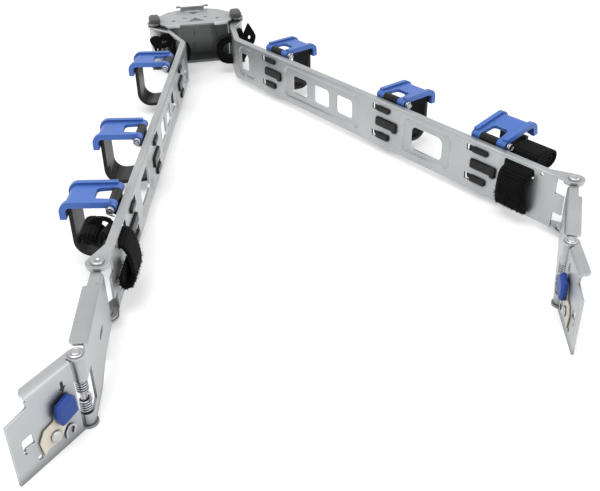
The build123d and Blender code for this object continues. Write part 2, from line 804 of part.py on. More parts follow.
def rear_lip():
    # short upright lip over the rear wall, with a hook at each end
    top = elbow_height + rear_lip_height
    lip = block(-rear_lip_half_length, rear_lip_half_length, rear_wall_y, top_rear_reach, elbow_height, top)
    hook_low = top + lip_hook_rise - lip_hook_size
    for start in (-rear_lip_half_length - lip_hook_length, rear_lip_half_length):
        lip += block(start, start + lip_hook_length, rear_wall_y, top_rear_reach, hook_low,
                     top + lip_hook_rise)
    return lip


def elbow_frame():
    top = bracket_outline()
    for side in (-1, 1):
        x, y = small_slot_at
        top -= Pos(side * small_hole_x, 0) * Circle(small_hole_radius)
        slot = SlotOverall(small_slot_length, small_slot_width, rotation=side * small_slot_turn)
        top -= Pos(side * x, y) * slot
    body = Pos(0, 0, top_plate_low) * extrude(top, elbow_sheet)
    body -= extrude(rib_pockets(), rib_depth, dir=(0, 0, -1), taper=rib_slope)
    gap = in_front_of(floor_front) & Rectangle(2 * floor_gap_half_width, 4 * top_rear_reach)
    body += extrude(bracket_outline() - gap - in_front_of(-floor_lug_front), elbow_sheet)
    body += block(-floor_gap_half_width, floor_gap_half_width, floor_front, floor_front + floor_hem_width,
                  elbow_sheet, elbow_sheet + floor_hem_height)
    body += rear_skirt() + rear_lip()
    for side in (-1, 1):
        x = side * front_lip_x
        body += block(x - front_lip_length / 2, x + front_lip_length / 2, -top_front_reach,
                      elbow_sheet - top_front_reach, top_plate_low - front_lip_drop, elbow_height)
        body -= Pos(side * pivot_half_span, 0, 0) * disc(pivot_pin_radius + running_fit, elbow_height)
    return body


def elbow_pivot_pins():
    pin = disc(pivot_pin_radius, elbow_height)
    pin += Pos(0, 0, elbow_height) * disc(pivot_head_radius, pivot_head_height)
    return [Pos(side * pivot_half_span, 0, 0) * pin for side in (-1, 1)]


def elbow_washers():
    inner = pivot_pin_radius + running_fit
    solids = []
    for side in (-1, 1):
        place = Pos(side * pivot_half_span, 0, 0)
        solids.append(place * Pos(0, 0, elbow_sheet) * ring(washer_radius, inner, lower_washer))
        solids.append(place * Pos(0, 0, arm_top) * ring(washer_radius, inner, upper_washer))
    return solids


def elbow_sleeves():
    # spacer round each pivot pin, between the two eyes of the arm
    low = arm_bottom + sheet + sleeve_gap
    tube = ring(sleeve_radius, pivot_pin_radius + running_fit, arm_top - sheet - sleeve_gap - low)
    return [Pos(side * pivot_half_span, 0, low) * tube for side in (-1, 1)]


def elbow_bumpers():
    # faceted plastic caps that cover the pivot heads
    solids = []
    for side in (-1, 1):
        outline = RectangleRounded(bumper_width, bumper_length, bumper_corner)
        cap = extrude(outline, bumper_height)
        rim = cap.edges().group_by(Axis.Z)[-1]
        cap = chamfer(rim, bumper_bevel)
        cap -= Pos(0, -bumper_rear_shift, 0) * disc(
            pivot_head_radius + bumper_room, pivot_head_height + bumper_room)
        solids.append(Pos(side * pivot_half_span, bumper_rear_shift, elbow_height) * cap)
    return solids


# Placing: pieces are made for the right-hand side and mirrored for the left

def hand(side):
    return 1 if side == "right" else -1


def arm_frame(side):
    sign = hand(side)
    return Pos(sign * pivot_half_span, 0, 0) * Rot(0, 0, sign * arm_angle[side])


def link_frame(side):
    sign = hand(side)
    return arm_frame(side) * Pos(sign * end_pivot_x, -arm_length, 0) * Rot(0, 0, -sign * link_angle[side])


def plate_frame(side):
    return link_frame(side) * Pos(0, -link_length, 0) * Rot(0, 0, hand(side) * plate_angle[side])


def placed(solids, frame, side):
    if not isinstance(solids, list):
        solids = [solids]
    if side == "left":
        solids = [solid.mirror(Plane.YZ) for solid in solids]
    return [frame(side) * solid for solid in solids]


def opened(lid, station, angle):
    hinge = Axis((hinge_reach - web_offset, -station, hinge_z), (0, -1, 0))
    return lid.rotate(hinge, angle)


def write(node, solids):
    solids = [Pos(0, -origin_setback, 0) * solid for solid in solids]
    shape = solids[0] if len(solids) == 1 else Compound(children=solids)
    export_step(shape, os.path.join("parts", node + ".step"))


os.makedirs("parts", exist_ok=True)
write("elbow_frame", [elbow_frame()])
write("elbow_pivot_pins", elbow_pivot_pins())
write("elbow_washers", elbow_washers())
write("elbow_sleeves", elbow_sleeves())
write("elbow_bumpers", elbow_bumpers())

for side in ("left", "right"):
    write(side + "_arm_panel", placed(arm_panel(), arm_frame, side))
    for index, station in enumerate(clip_stations, start=1):
        write(f"{side}_clip_base_{index}", placed(clip_base(station), arm_frame, side))
        propped = side == "right" and index == len(clip_stations)
        lid = opened(clip_lid(station), station, propped_lid_angle if propped else 0.0)
        write(f"{side}_clip_lid_{index}", placed(lid, arm_frame, side))
    write(side + "_lid_pins", placed([lid_pin(s) for s in clip_stations], arm_frame, side))
    write(side + "_lid_springs", placed([lid_spring(s) for s in clip_stations], arm_frame, side))
    write(side + "_wide_strap", placed(wide_strap(side), arm_frame, side))
    write(side + "_tie_strap", placed(tie_strap(), arm_frame, side))
    write(side + "_link", placed(link(), link_frame, side))
    write(side + "_link_rivets", placed(link_rivets(), link_frame, side))
    write(side + "_hinge_pin", placed(hinge_pin(), plate_frame, side))
    write(side + "_hinge_spring", placed(hinge_spring(), plate_frame, side))
    write(side + "_end_plate", placed(end_plate(), plate_frame, side))
    write(side + "_latch_lever", placed(latch_lever(), plate_frame, side))
    write(side + "_latch_button", placed(latch_button(), plate_frame, side))
    write(side + "_latch_rivet", placed(latch_rivet(), plate_frame, side))
    write(side + "_latch_spring", placed(latch_spring(), plate_frame, side))
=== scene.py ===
import json
import math
from random import Random

import bmesh
import bpy
from mathutils import Matrix, Vector

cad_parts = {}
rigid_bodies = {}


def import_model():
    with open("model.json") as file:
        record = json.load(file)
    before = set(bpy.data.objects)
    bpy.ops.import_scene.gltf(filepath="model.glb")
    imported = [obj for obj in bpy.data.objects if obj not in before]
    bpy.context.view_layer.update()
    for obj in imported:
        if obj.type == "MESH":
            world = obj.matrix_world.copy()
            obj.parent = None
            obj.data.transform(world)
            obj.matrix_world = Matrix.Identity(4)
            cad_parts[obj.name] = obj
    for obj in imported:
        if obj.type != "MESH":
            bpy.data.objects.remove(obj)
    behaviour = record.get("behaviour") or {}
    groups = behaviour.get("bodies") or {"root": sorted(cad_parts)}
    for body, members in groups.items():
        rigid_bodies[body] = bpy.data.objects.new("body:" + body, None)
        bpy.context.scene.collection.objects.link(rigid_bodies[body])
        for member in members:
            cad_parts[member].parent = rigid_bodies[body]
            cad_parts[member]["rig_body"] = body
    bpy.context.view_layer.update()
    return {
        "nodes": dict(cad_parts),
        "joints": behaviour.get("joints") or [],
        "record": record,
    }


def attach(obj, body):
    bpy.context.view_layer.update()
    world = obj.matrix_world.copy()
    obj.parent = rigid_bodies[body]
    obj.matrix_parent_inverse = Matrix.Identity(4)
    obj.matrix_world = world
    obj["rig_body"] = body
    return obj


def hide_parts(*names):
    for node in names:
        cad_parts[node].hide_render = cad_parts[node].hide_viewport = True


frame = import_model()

nodes = frame["nodes"]
joints = {j["name"]: j for j in frame["joints"]}
sides = ("left", "right")
mm = 0.001
weld = 0.002 * mm  # points nearer than this are one point
upward = Vector((0, 0, 1))
print("frame loaded,", len(nodes), "nodes")


# Places: every side has an arm and a plate, each with its own outward and along directions

class Place:
    # local x is outwards, y is along the piece, away from its hinge, z is up
    def __init__(self, origin, out, along):
        self.origin = Vector(origin)
        self.out = Vector(out).normalized()
        self.along = Vector(along).normalized()

    def at(self, x, y, z):
        return self.origin + self.out * x + self.along * y + Vector((0, 0, z))


def jointPoint(name):
    return Vector(joints[name]["pos_m"])


def sideways(along, side):
    # outward direction that belongs to a direction along the piece
    turn = 1 if side == "right" else -1
    return Vector((-along.y * turn, along.x * turn, 0))


hinge = {"reach": 8.2 * mm}  # lid hinge line, out from the inner face of the web


def armPlace(side):
    axis = Vector(joints[side + "_lid_1_hinge"]["axis"])
    along = axis if side == "right" else -axis
    out = sideways(along, side)
    pivot = jointPoint(side + "_arm_swing")
    lid = jointPoint(side + "_lid_1_hinge")
    return Place(pivot + out * ((lid - pivot).dot(out) - hinge["reach"]), out, along)


def platePlace(side):
    axis = Vector(joints[side + "_latch_press"]["axis"])
    out = axis if side == "right" else -axis
    along = Vector((out.y, -out.x, 0)) if side == "right" else Vector((-out.y, out.x, 0))
    return Place(jointPoint(side + "_plate_hinge"), out, along)


arms = {side: armPlace(side) for side in sides}
plates = {side: platePlace(side) for side in sides}


# Shared shader effects

grainDetail = {"Fine": 3.0, "Broad": 4.0}
rubShape = {"samples": 4, "noiseScale": 160.0, "noiseDetail": 4.0, "gain": 6.0}
noiseSpan = (0.3, 0.7)  # nearly all of a noise lies between these
# samples for the ambient occlusion of the painted shade
paintedShadeSamples = 6


def newGroup(name, inputs, outputs):
    group = bpy.data.node_groups.new(name, "ShaderNodeTree")
    for socket, value in inputs.items():
        made = group.interface.new_socket(socket, in_out="INPUT", socket_type="NodeSocketFloat")
        made.default_value = value
    for socket in outputs:
        group.interface.new_socket(socket, in_out="OUTPUT", socket_type="NodeSocketFloat")
    return group, group.nodes.new("NodeGroupInput"), group.nodes.new("NodeGroupOutput")


def mathNode(tree, operation, a, b=0):
    node = tree.nodes.new("ShaderNodeMath")
    node.operation = operation
    for socket, value in zip(node.inputs, (a, b)):
        if isinstance(value, (int, float)):
            socket.default_value = value
        else:
            tree.links.new(value, socket)
    return node.outputs[0]


def makeGrain():
    # fine grain and slow cloudiness, both around 0.5
    group, given, out = newGroup("grain", {"Fine": 900.0, "Broad": 22.0}, ("Fine", "Broad"))
    place = group.nodes.new("ShaderNodeTexCoord")
    for name, detail in grainDetail.items():
        noise = group.nodes.new("ShaderNodeTexNoise")
        noise.inputs["Detail"].default_value = detail
        group.links.new(place.outputs["Object"], noise.inputs["Vector"])
        group.links.new(given.outputs[name], noise.inputs["Scale"])
        group.links.new(noise.outputs["Fac"], out.inputs[name])
    return group


def makeEdgeRub():
    # 1 on edges, broken up by noise, 0 on flat stretches
    group, given, out = newGroup("edgeRub", {"Radius": 0.0006, "Strength": 1.0}, ("Mask",))
    bevel = group.nodes.new("ShaderNodeBevel")
    bevel.samples = rubShape["samples"]
    group.links.new(given.outputs["Radius"], bevel.inputs["Radius"])
    flat = group.nodes.new("ShaderNodeNewGeometry")
    dot = group.nodes.new("ShaderNodeVectorMath")
    dot.operation = "DOT_PRODUCT"
    group.links.new(bevel.outputs["Normal"], dot.inputs[0])
    group.links.new(flat.outputs["True Normal"], dot.inputs[1])
    place = group.nodes.new("ShaderNodeTexCoord")
    noise = group.nodes.new("ShaderNodeTexNoise")
    noise.inputs["Scale"].default_value = rubShape["noiseScale"]
    noise.inputs["Detail"].default_value = rubShape["noiseDetail"]
    group.links.new(place.outputs["Object"], noise.inputs["Vector"])
    bent = mathNode(group, "SUBTRACT", 1.0, dot.outputs["Value"])
    sharp = mathNode(group, "MULTIPLY", bent, rubShape["gain"])
    worn = mathNode(group, "MULTIPLY", sharp, noise.outputs["Fac"])
    scaled = mathNode(group, "MULTIPLY", worn, given.outputs["Strength"])
    limited = group.nodes.new("ShaderNodeClamp")
    group.links.new(scaled, limited.inputs["Value"])
    group.links.new(limited.outputs["Result"], out.inputs["Mask"])
    return group


grainGroup = makeGrain()
edgeRubGroup = makeEdgeRub()


def useGroup(tree, group, **values):
    node = tree.nodes.new("ShaderNodeGroup")
    node.node_tree = group
    for name, value in values.items():
        node.inputs[name].default_value = value
    return node


def newMaterial(name, roughness, metallic):
    material = bpy.data.materials.new(name)
    material.use_nodes = True
    shader = material.node_tree.nodes["Principled BSDF"]
    shader.inputs["Roughness"].default_value = roughness
    shader.inputs["Metallic"].default_value = metallic
    return material, material.node_tree, shader


def mixColours(tree, factor, a, b):
    mix = tree.nodes.new("ShaderNodeMix")
    mix.data_type = "RGBA"
    tree.links.new(factor, mix.inputs["Factor"])
    for socket, value in ((mix.inputs[6], a), (mix.inputs[7], b)):  # the colour sockets A and B
        if isinstance(value, tuple):
            socket.default_value = (*value, 1.0)
        else:
            tree.links.new(value, socket)
    return mix.outputs[2]


def mapRange(tree, value, span, result):
    node = tree.nodes.new("ShaderNodeMapRange")
    for socket, limit in zip(("From Min", "From Max", "To Min", "To Max"), (*span, *result)):
        node.inputs[socket].default_value = limit
    tree.links.new(value, node.inputs["Value"])
    return node.outputs["Result"]


def spread(tree, noise, low, high):
    # noise near its middle, stretched over a range
    return mapRange(tree, noise, noiseSpan, (low, high))


def roughen(tree, shader, height, strength, distance):
    bump = tree.nodes.new("ShaderNodeBump")
    bump.inputs["Strength"].default_value = strength
    bump.inputs["Distance"].default_value = distance
    tree.links.new(height, bump.inputs["Height"])
    tree.links.new(bump.outputs["Normal"], shader.inputs["Normal"])


def grainyMaterial(name, look):
    # body of every rigid finish: cloudy colour, rubbed edges, painted shade in nooks, creases and
    # gaps between parts, uneven gloss, fine skin
    material, tree, shader = newMaterial(name, look["rough"][0], look["metallic"])
    shader.inputs["Specular IOR Level"].default_value = look.get("specular", 0.5)
    grain = useGroup(tree, grainGroup, Fine=look["fine"], Broad=look["broad"])
    rub = useGroup(tree, edgeRubGroup, Radius=look["rubRadius"], Strength=look["rub"])
    cloud = spread(tree, grain.outputs["Broad"], 0.0, 1.0)
    cloudy = mixColours(tree, cloud, look["dark"], look["light"])
    worn = mixColours(tree, rub.outputs["Mask"], cloudy, look["edge"])
    # painted shade: ambient occlusion mixes the base colour towards a darker shade colour in nooks,
    # creases and between parts
    shadeOcclusion = tree.nodes.new("ShaderNodeAmbientOcclusion")
    shadeOcclusion.samples = paintedShadeSamples
    shadeOcclusion.inputs["Distance"].default_value = look["paintedShadeReach"]
    openness = mathNode(tree, "POWER", shadeOcclusion.outputs["AO"], look["paintedShadePower"])
    shade = tuple(c * look["paintedShadeTone"] for c in look["dark"])
    tree.links.new(mixColours(tree, openness, shade, worn), shader.inputs["Base Color"])
    gloss = spread(tree, grain.outputs["Broad"], *look["rough"])
    tree.links.new(gloss, shader.inputs["Roughness"])
    roughen(tree, shader, grain.outputs["Fine"], look["bump"], look["depth"])
    return material


# in each look, the last three values set the reach, contrast and colour of the painted shade in
# nooks
looks = {
    "zincSteel": {
        "dark": (0.40, 0.42, 0.43), "light": (0.49, 0.51, 0.52), "edge": (0.72, 0.73, 0.74),
        "metallic": 0.88, "rough": (0.32, 0.44), "fine": 1400.0, "broad": 30.0,
        "rub": 0.7, "rubRadius": 0.0006, "bump": 0.12, "depth": 0.0002,
        "paintedShadeReach": 0.006, "paintedShadePower": 1.6, "paintedShadeTone": 0.30,
    },
    # zinc steel for the elbow, with painted shade that reaches far into its inside
    "shadedElbowSteel": {
        "dark": (0.40, 0.42, 0.42), "light": (0.50, 0.52, 0.52), "edge": (0.78, 0.79, 0.79),
        "metallic": 0.85, "rough": (0.34, 0.46), "fine": 1400.0, "broad": 40.0,
        "rub": 0.9, "rubRadius": 0.0008, "bump": 0.12, "depth": 0.0002,
        "paintedShadeReach": 0.030, "paintedShadePower": 1.3, "paintedShadeTone": 0.30,
    },
    "rivetSteel": {
        "dark": (0.46, 0.46, 0.47), "light": (0.58, 0.58, 0.59), "edge": (0.8, 0.8, 0.8),
        "metallic": 1.0, "rough": (0.28, 0.40), "fine": 1800.0, "broad": 120.0,
        "rub": 0.5, "rubRadius": 0.0004, "bump": 0.08, "depth": 0.0001,
        "paintedShadeReach": 0.003, "paintedShadePower": 2.0, "paintedShadeTone": 0.15,
    },
    "springSteel": {
        "dark": (0.44, 0.45, 0.50), "light": (0.60, 0.61, 0.66), "edge": (0.8, 0.8, 0.84),
        "metallic": 1.0, "rough": (0.24, 0.34), "fine": 2200.0, "broad": 150.0,
        "rub": 0.2, "rubRadius": 0.0002, "bump": 0.06, "depth": 0.0001,
        "paintedShadeReach": 0.0012, "paintedShadePower": 3.0, "paintedShadeTone": 0.03,
    },
    "leafBrass": {
        "dark": (0.58, 0.52, 0.42), "light": (0.68, 0.63, 0.53), "edge": (0.80, 0.77, 0.69),
        "metallic": 0.75, "rough": (0.35, 0.48), "fine": 1600.0, "broad": 90.0,
        "rub": 0.4, "rubRadius": 0.0003, "bump": 0.08, "depth": 0.0001,
        "paintedShadeReach": 0.003, "paintedShadePower": 1.4, "paintedShadeTone": 0.25,
    },
    "bluePlastic": {
        "dark": (0.050, 0.145, 0.50), "light": (0.062, 0.168, 0.56), "edge": (0.16, 0.29, 0.68),
        "metallic": 0.0, "rough": (0.32, 0.42), "fine": 2600.0, "broad": 45.0,
        "rub": 0.35, "rubRadius": 0.0005, "bump": 0.05, "depth": 0.0001,
        "paintedShadeReach": 0.005, "paintedShadePower": 1.5, "paintedShadeTone": 0.35,
    },
    # the blue plastic darkened by painted shade, for the latch buttons that face away from the
    # light
    "shadedLatchBlue": {
        "dark": (0.018, 0.060, 0.29), "light": (0.026, 0.074, 0.34), "edge": (0.10, 0.19, 0.52),
        "metallic": 0.0, "specular": 0.25, "rough": (0.34, 0.44), "fine": 2600.0, "broad": 60.0,
        "rub": 0.35, "rubRadius": 0.0004, "bump": 0.05, "depth": 0.0001,
        "paintedShadeReach": 0.004, "paintedShadePower": 1.4, "paintedShadeTone": 0.35,
    },
    "blackPlastic": {
        "dark": (0.007, 0.007, 0.007), "light": (0.012, 0.012, 0.012), "edge": (0.04, 0.04, 0.04),
        "metallic": 0.0, "specular": 0.22, "rough": (0.25, 0.36), "fine": 2400.0, "broad": 60.0,
        "rub": 0.35, "rubRadius": 0.0006, "bump": 0.08, "depth": 0.0001,
        "paintedShadeReach": 0.005, "paintedShadePower": 1.0, "paintedShadeTone": 0.5,
    },
    "whiteNylon": {
        "dark": (0.66, 0.66, 0.64), "light": (0.76, 0.76, 0.74), "edge": (0.82, 0.82, 0.8),
        "metallic": 0.0, "rough": (0.4, 0.5), "fine": 2200.0, "broad": 90.0,
        "rub": 0.2, "rubRadius": 0.0004, "bump": 0.05, "depth": 0.0001,
        "paintedShadeReach": 0.004, "paintedShadePower": 1.0, "paintedShadeTone": 0.5,
    },
    "greyPlastic": {
        "dark": (0.055, 0.055, 0.052), "light": (0.085, 0.085, 0.080), "edge": (0.2, 0.2, 0.19),
        "metallic": 0.0, "rough": (0.42, 0.56), "fine": 2200.0, "broad": 80.0,
        "rub": 0.4, "rubRadius": 0.0005, "bump": 0.1, "depth": 0.0001,
        "paintedShadeReach": 0.004, "paintedShadePower": 1.0, "paintedShadeTone": 0.4,
    },
}
finishes = {name: grainyMaterial(name, look) for name, look in looks.items()}

# The elbow's plate keeps its colour on its ridges, gets a painted highlight on its front lips and
# painted shade below the ridges
elbowPaintedLight = {
    "ridge": 40.78 * mm, "fullShadeHeight": 40.60 * mm, "shadeLevel": 0.55,
    "lip": 2.1, "lipFront": -26.4 * mm, "lipStart": 14.8 * mm,
}


def paintElbowShadeAndHighlight(material):
    tree = material.node_tree
    shader = tree.nodes["Principled BSDF"]
    place = tree.nodes.new("ShaderNodeTexCoord")
    parts = tree.nodes.new("ShaderNodeSeparateXYZ")
    tree.links.new(place.outputs["Object"], parts.inputs["Vector"])
    heights = (elbowPaintedLight["fullShadeHeight"], elbowPaintedLight["ridge"])
    # painted shade: colour scaled down below the ridges, over the elbow's inside
    level = mapRange(tree, parts.outputs["Z"], heights, (elbowPaintedLight["shadeLevel"], 1.0))
    # painted highlight: colour scaled up on the front lips
    front = mathNode(tree, "LESS_THAN", parts.outputs["Y"], elbowPaintedLight["lipFront"])
    fromMiddle = mathNode(tree, "ABSOLUTE", parts.outputs["X"])
    beside = mathNode(tree, "GREATER_THAN", fromMiddle, elbowPaintedLight["lipStart"])
    onLip = mathNode(tree, "MULTIPLY", front, beside)
    lip = mathNode(tree, "MULTIPLY", onLip, elbowPaintedLight["lip"])
    colour = shader.inputs["Base Color"].links[0].from_socket
    paintedLightColour = tree.nodes.new("ShaderNodeVectorMath")
    paintedLightColour.operation = "SCALE"
    tree.links.new(colour, paintedLightColour.inputs[0])
    tree.links.new(mathNode(tree, "MAXIMUM", level, lip), paintedLightColour.inputs["Scale"])
    tree.links.new(paintedLightColour.outputs["Vector"], shader.inputs["Base Color"])


paintElbowShadeAndHighlight(finishes["shadedElbowSteel"])

webbingLook = {
    "dark": (0.0015, 0.0015, 0.0015), "light": (0.007, 0.007, 0.007), "rough": 0.9,
    "sheen": 0.05, "sheenRough": 0.5, "specular": 0.08,
    "ribPitch": 1.9 * mm, "ribWeight": 0.3, "threads": 26.0, "threadWeight": 0.12,
    "pile": 2600.0, "cloud": 160.0, "bump": 0.5, "depth": 0.0004,
}


def ripple(tree, name, rate, weight):
    # even waves along one of the strap's attributes
    given = tree.nodes.new("ShaderNodeAttribute")
    given.attribute_name = name
    turned = mathNode(tree, "MULTIPLY", given.outputs["Fac"], rate)
    return mathNode(tree, "MULTIPLY", mathNode(tree, "SINE", turned), weight)


def makeWebbing(look):
    # woven strap: ribs across it, threads along it and a fine pile
    material, tree, shader = newMaterial("blackWebbing", look["rough"], 0.0)
    shader.inputs["Sheen Weight"].default_value = look["sheen"]
    shader.inputs["Sheen Roughness"].default_value = look["sheenRough"]
    shader.inputs["Specular IOR Level"].default_value = look["specular"]
    rib = ripple(tree, "run", 2 * math.pi / look["ribPitch"], look["ribWeight"])
    thread = ripple(tree, "across", math.pi * look["threads"], look["threadWeight"])
    weave = mathNode(tree, "ADD", rib, thread)
    grain = useGroup(tree, grainGroup, Fine=look["pile"], Broad=look["cloud"])
    level = mathNode(tree, "ADD", weave, grain.outputs["Broad"])
    colour = mixColours(tree, spread(tree, level, 0.0, 1.0), look["dark"], look["light"])
    tree.links.new(colour, shader.inputs["Base Color"])
    height = mathNode(tree, "ADD", weave, grain.outputs["Fine"])
    roughen(tree, shader, height, look["bump"], look["depth"])
    return material


webbing = makeWebbing(webbingLook)
slotFinish = {
    "zinc_steel": "zincSteel", "rivet_steel": "rivetSteel", "spring_steel": "springSteel",
    "leaf_brass": "leafBrass", "blue_plastic": "bluePlastic", "black_plastic": "blackPlastic",
    "grey_plastic": "greyPlastic", "white_nylon": "whiteNylon", "black_webbing": "blackPlastic",
}
nodeSlot = {s["node"]: s["material_slot"] for s in frame["record"]["subparts"]}
nodeFinish = {name: finishes[slotFinish[slot]] for name, slot in nodeSlot.items()}
# the elbow's frame gets the steel with painted shade and a painted highlight
nodeFinish["elbow_frame"] = finishes["shadedElbowSteel"]
# latch buttons get the blue plastic with painted shade
for side in sides:
    nodeFinish[side + "_latch_button"] = finishes["shadedLatchBlue"]
for name, node in nodes.items():
    node.data.materials.clear()
    node.data.materials.append(nodeFinish[name])
print("materials made,", len(finishes))


# Mesh tools

def finishPiece(bm, name, body, finish, replaced=(), smooth=True):
    bmesh.ops.recalc_face_normals(bm, faces=bm.faces)
    mesh = bpy.data.meshes.new(name)
    bm.to_mesh(mesh)
    bm.free()
    piece = bpy.data.objects.new(name, mesh)
    bpy.context.scene.collection.objects.link(piece)
    mesh.materials.append(finish)
    for face in mesh.polygons:
        face.use_smooth = smooth
    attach(piece, body)
    if replaced:
        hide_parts(*replaced)
    return piece


def newCurve(name, steps, dimensions="3D"):
    curve = bpy.data.curves.new(name, "CURVE")
    curve.dimensions = dimensions
    curve.resolution_u = steps
    return curve


def addSpline(curve, points, order=3, closed=False):
    spline = curve.splines.new("NURBS")
    spline.points.add(len(points) - 1)
    for made, point in zip(spline.points, points):
        made.co = (*point, 1.0)
    spline.use_cyclic_u = closed
    spline.order_u = order
    spline.use_endpoint_u = not closed


def meshFrom(curve):
    holder = bpy.data.objects.new(curve.name, curve)
    mesh = bpy.data.meshes.new_from_object(holder)
    bpy.data.objects.remove(holder)
    return mesh


def facing(origin, across, up, normal):
    # matrix that sets a flat drawing in its place
    m = Matrix.Identity(4)
    for column, vector in enumerate((across, up, normal, origin)):
        m.col[column][:3] = vector
    return m


# Formed sheet and moulded pieces, with the small edge rounds that such pieces have

softening = {"flat": 0.5, "sharp": 32.0, "segments": 2}  # angles in degrees
edgeRounds = {
    "elbow_frame": 0.25 * mm, "elbow_bumpers": 0.6 * mm, "elbow_pivot_pins": 0.15 * mm,
    "elbow_washers": 0.15 * mm, "elbow_sleeves": 0.3 * mm, "arm_panel": 0.2 * mm,
    "link": 0.2 * mm, "end_plate": 0.2 * mm, "clip_base": 0.3 * mm, "clip_lid": 0.35 * mm,
    "latch_lever": 0.12 * mm, "latch_button": 0.35 * mm, "latch_rivet": 0.3 * mm,
}


def makeSoftened(node, width):
    bm = bmesh.new()
    bm.from_mesh(nodes[node].data)
    bmesh.ops.remove_doubles(bm, verts=bm.verts, dist=weld)
    bmesh.ops.dissolve_limit(bm, angle_limit=math.radians(softening["flat"]), verts=bm.verts,
                             edges=bm.edges, delimit=set())
    limit = math.radians(softening["sharp"])
    edges = [e for e in bm.edges if e.is_manifold and e.calc_face_angle(0.0) > limit]
    bmesh.ops.bevel(bm, geom=edges, offset=width, offset_type="OFFSET", profile=0.5,
                    segments=softening["segments"], affect="EDGES", clamp_overlap=True, material=-1)
    body = nodes[node]["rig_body"]
    piece = finishPiece(bm, node + "_formed", body, nodeFinish[node], (node,))
    level = piece.modifiers.new("levelNormals", "WEIGHTED_NORMAL")
    level.keep_sharp = True


def plainName(node):
    for side in sides:
        node = node.removeprefix(side + "_")
    return node.rstrip("_0123456789")


for name in list(nodes):
    width = edgeRounds.get(plainName(name))
    if width:
        makeSoftened(name, width)
print("formed pieces made")


# Straps: smooth ribbons whose weave follows their attributes run (metres) and across (0 to 1)

strapShape = {"thickness": 1.7 * mm, "ribHeight": 0.09 * mm, "columns": 10, "steps": 20}
wideStrap = {
    "width": 19.5 * mm, "station": 336.25,
    # routes from the inner end of the roll to the loose end: out from the web, up, further along
    # the arm (all in millimetres), and how far the near edge leans upwards, in degrees
    "band": {
        "left": (
            (22.4, 28.4, -8.6, 0), (23.2, 30.2, -8.6, 0), (21.6, 32.4, -8.6, 0),
            (18.4, 33.0, -8.6, 0), (15.4, 32.0, -8.6, 0), (14.6, 29.4, -8.6, 0),
            (17.4, 27.8, -8.6, 0), (20.2, 28.6, -8.6, 0), (20.0, 30.6, -8.6, 0),
            (17.4, 30.6, -8.4, 0), (14.4, 27.6, -7.6, 0), (12.0, 27.0, -6.4, 2),
            (10.4, 28.8, -4.8, 6), (9.8, 32.4, -3.0, 14), (8.4, 35.4, -2.4, 16),
            (6.4, 34.0, -1.8, 10), (4.6, 31.6, -1.0, 4), (1.6, 31.2, 0, 0),
            (-1.6, 31.6, 0.5, 0), (-4.0, 29.4, 2.0, 0), (-5.8, 26.0, 4.4, 0),
            (-7.2, 22.0, 7.2, 0), (-7.8, 18.8, 9.4, 0), (-7.0, 15.8, 11.4, 0),
            (-4.8, 14.8, 13.0, 0), (-2.6, 16.0, 14.2, 0), (-2.2, 19.4, 14.8, 0),
            (-2.4, 22.4, 15.0, 0),
        ),
        "right": (
            (22.0, 33.3, -6.0, 0), (17.0, 33.2, -6.0, 0), (13.2, 33.5, -6.0, 0),
            (13.6, 35.0, -6.0, 0), (18.0, 35.2, -6.0, 0), (24.0, 35.2, -6.0, 0),
            (26.0, 33.6, -6.0, 0), (24.6, 31.4, -6.0, 0), (19.0, 30.9, -6.0, 0),
            (13.0, 31.0, -6.0, 0), (10.6, 33.2, -5.6, 0), (11.6, 37.0, -5.4, 0),
            (17.0, 37.8, -5.4, 0), (24.0, 38.0, -5.4, 0), (28.2, 36.4, -5.4, 0),
            (28.6, 32.0, -5.2, 0), (25.0, 28.8, -5.0, 0), (17.0, 28.4, -4.6, 0),
            (11.0, 28.6, -3.6, 0), (6.6, 30.4, -2.0, 0), (2.4, 31.4, 0, 0),
            (-2.2, 31.7, 0, 0), (-5.2, 29.2, 0, 0), (-6.2, 23.4, 0, 0),
            (-6.4, 17.0, 0, 0), (-5.8, 11.4, 0, 0), (-4.0, 8.0, 0, 0), (-1.2, 8.2, 0, 0),
        ),
    },
    # narrow end of the left strap, bent over its roll: out from the web and up
    "arch": ((7.0, 32.4), (7.6, 35.0), (10.4, 36.4), (14.0, 36.7), (17.6, 35.8), (19.6, 33.2)),
    "archWidth": 2.2 * mm, "archStation": 326.0,
    # loose pile towards the cut end
    "fibres": 900, "fibreLength": (1.0 * mm, 2.8 * mm), "fibreRadius": 0.26 * mm, "fibreTip": 0.3,
    "fibreSides": 4, "fibreLean": 0.9, "fibreReach": 17.0 * mm, "seed": 11,
}
